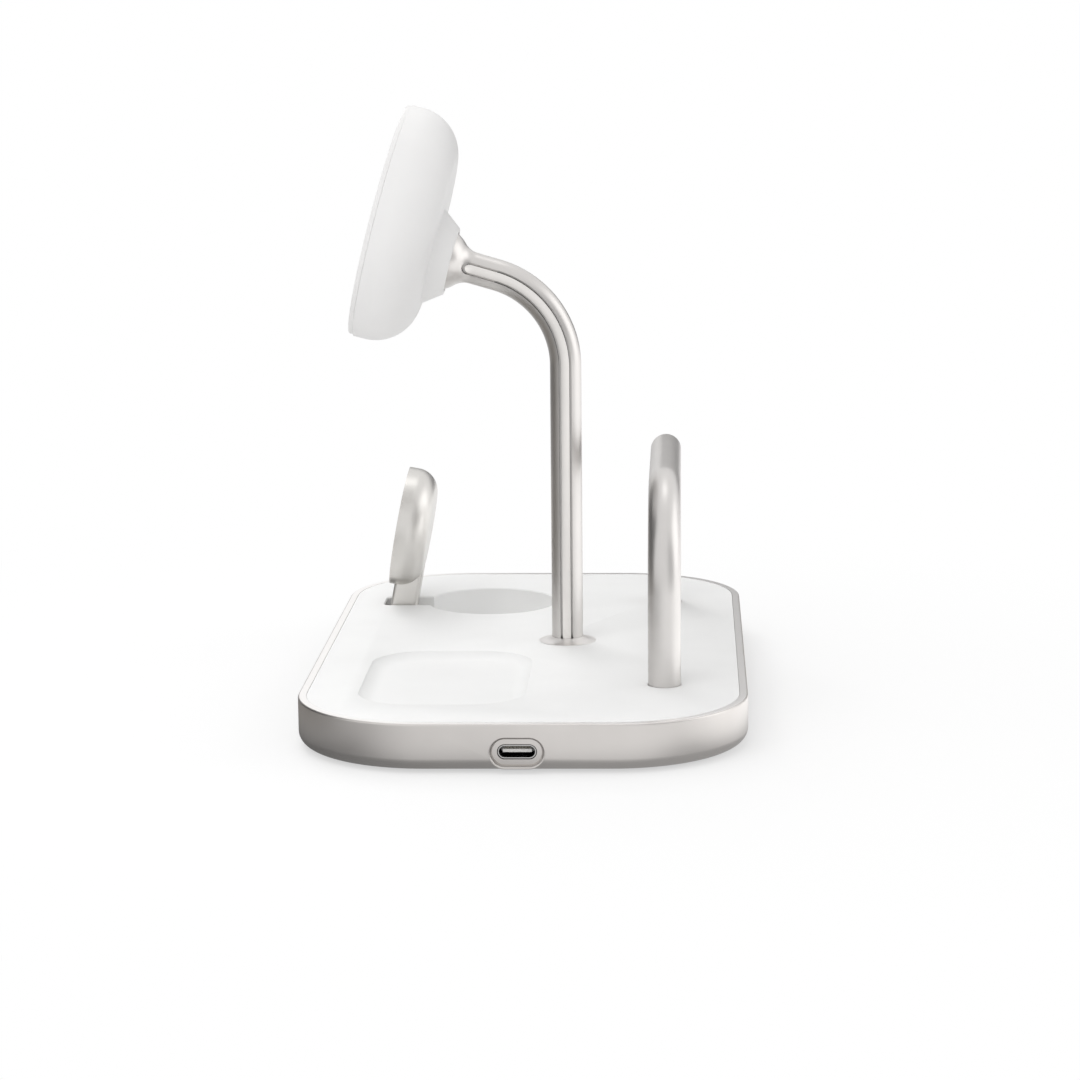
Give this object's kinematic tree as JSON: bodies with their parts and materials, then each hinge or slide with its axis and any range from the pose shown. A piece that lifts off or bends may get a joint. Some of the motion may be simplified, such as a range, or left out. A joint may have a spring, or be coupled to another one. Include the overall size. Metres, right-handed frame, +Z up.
{
  "type": "wireless charging stand",
  "caption": "Low rounded charging base with a sunk earbud dish, a folding watch puck, a bent stem with a round phone pad on a ball joint, and a bent rod loop that props a tablet.",
  "frame": {"origin": "on the surface that the feet stand on, at the middle of the base", "axes": "+X along the base towards the end with the charging inlet, -Y to the front that faces the user, +Z up"},
  "size_m": [0.18, 0.108, 0.1493],
  "materials": {
    "frame_metal": "satin anodised, slightly warm silver",
    "rod_metal": "polished satin, warm silver",
    "strip_metal": "fine satin, warm silver",
    "watch_metal": "satin blasted, warm silver",
    "top_white": "matte white moulding",
    "head_grey": "matte very light grey moulding",
    "pad_white": "soft white silicone",
    "cover_grey": "fine textured grey moulding",
    "dark_plastic": "black moulding",
    "liner": "natural slippery plastic",
    "lead_sleeve": "white sleeve",
    "rubber": "soft rubber",
    "steel": "plated",
    "board": "green lacquered circuit board",
    "copper": "enamelled copper winding",
    "ferrite": "dull dark grey sheet"
  },
  "bodies": {
    "base": {"base_frame": "frame_metal", "top_plate": "top_white", "bottom_cover": "cover_grey", "rubber_feet": "rubber", "cover_screws": "steel", "chassis_plate": "steel", "ballast_plate": "steel", "main_board": "board", "inlet_shell": "steel", "inlet_tongue": "liner", "earbud_coil": "copper", "earbud_ferrite": "ferrite", "stem": "rod_metal", "stem_strip": "strip_metal", "stem_collar": "rod_metal", "stem_socket": "steel", "stem_screw": "steel", "head_lead": "lead_sleeve", "tablet_loop": "rod_metal", "leg_sockets": "steel", "leg_screws": "steel", "hinge_pin": "steel", "hinge_blocks": "steel", "hinge_screws": "steel"},
    "watch_charger": {"watch_housing": "watch_metal", "watch_face": "pad_white", "watch_coil": "copper", "watch_magnet": "steel", "watch_ferrite": "ferrite"},
    "ball_ring": {"friction_ring": "liner"},
    "ball_cup": {"pressure_cup": "liner"},
    "phone_head": {"head_shell": "head_grey", "head_cover": "head_grey", "head_pad": "pad_white", "head_magnets": "steel", "head_coil": "copper", "head_ferrite": "ferrite", "head_board": "board", "spring_washer": "steel", "socket_cap": "dark_plastic", "cap_screws": "steel"}
  },
  "joints": [
    {"name": "watch_fold", "type": "hinge", "parent": "base", "child": "watch_charger", "pos_m": [-0.05, -0.0389, 0.008], "axis": [-1, 0, 0], "range_deg": [0, 79.7]},
    {"name": "head_pan", "type": "hinge", "parent": "base", "child": "ball_ring", "pos_m": [0, -0.02376, 0.11103], "axis": [0, 0, 1], "range_deg": [-15, 15]},
    {"name": "head_tilt", "type": "hinge", "parent": "ball_ring", "child": "ball_cup", "pos_m": [0, -0.02376, 0.11103], "axis": [-1, 0, 0], "range_deg": [-15, 15]},
    {"name": "head_turn", "type": "hinge", "parent": "ball_cup", "child": "phone_head", "pos_m": [0, -0.02376, 0.11103], "axis": [0, -0.9659, 0.2588], "range_deg": [-90, 90]}
  ]
}
